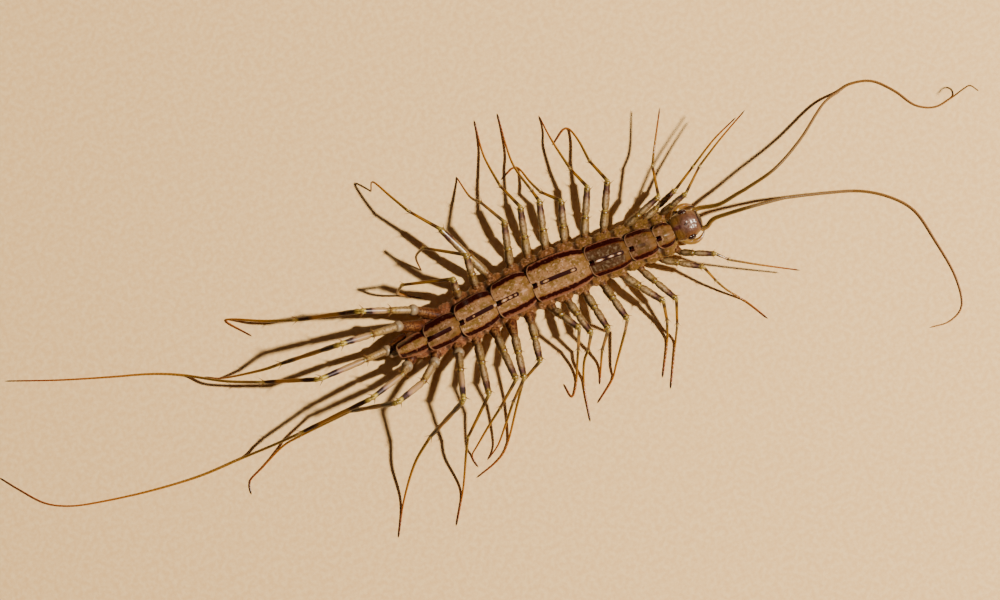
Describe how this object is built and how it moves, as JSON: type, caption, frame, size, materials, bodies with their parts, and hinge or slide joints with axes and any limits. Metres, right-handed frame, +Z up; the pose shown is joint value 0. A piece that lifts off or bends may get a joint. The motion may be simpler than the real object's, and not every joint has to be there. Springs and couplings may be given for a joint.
{
  "type": "house centipede",
  "caption": "House centipede model at life size, a long plated body on many slender banded legs with whip-like feelers and trailing last legs.",
  "frame": {"origin": "middle of the model's box, on the floor that the feet rest on", "axes": "+X to the head along the body, +Y to the animal's left, +Z up"},
  "size_m": [0.105, 0.0374, 0.0102],
  "materials": {
    "plate": "glossy tan chitin with a dark maroon stripe along each side and one along the middle",
    "trunk": "soft orange-brown side skin with darker folds between the segments",
    "head": "very glossy domed chitin, ochre and tan with a purple-brown blotch",
    "eye": "almost black faceted compound eye with a maroon sheen",
    "leg": "translucent cream and olive chitin with dark purple-brown bands, orange-brown at the tips",
    "antenna": "thin olive-ochre feeler of very many fine rings",
    "mouthpart": "smooth orange-tan chitin with a dark brown tip"
  },
  "bodies": {
    "root": {"head": "head", "eye_left": "eye", "eye_right": "eye", "antenna_left_stalk": "antenna", "antenna_left_lash": "antenna", "antenna_right_stalk": "antenna", "antenna_right_lash": "antenna", "forcipule_left": "mouthpart", "forcipule_right": "mouthpart", "palp_left": "mouthpart", "palp_right": "mouthpart", "trunk_front": "trunk", "trunk_middle": "trunk", "trunk_rear": "trunk", "tail": "trunk", "plate_1": "plate", "plate_2": "plate", "plate_3": "plate", "plate_4": "plate", "plate_5": "plate", "plate_6": "plate", "plate_7": "plate", "plate_8": "plate", "leg_left_01": "leg", "leg_left_02": "leg", "leg_left_03": "leg", "leg_left_04": "leg", "leg_left_05": "leg", "leg_left_06": "leg", "leg_left_07": "leg", "leg_left_08": "leg", "leg_left_09": "leg", "leg_left_10": "leg", "leg_left_11": "leg", "leg_left_12": "leg", "leg_left_13": "leg", "leg_left_14": "leg", "leg_left_15": "leg", "leg_right_01": "leg", "leg_right_02": "leg", "leg_right_03": "leg", "leg_right_04": "leg", "leg_right_05": "leg", "leg_right_06": "leg", "leg_right_07": "leg", "leg_right_08": "leg", "leg_right_09": "leg", "leg_right_10": "leg", "leg_right_11": "leg", "leg_right_12": "leg", "leg_right_13": "leg", "leg_right_14": "leg", "leg_right_15": "leg"}
  },
  "joints": []
}
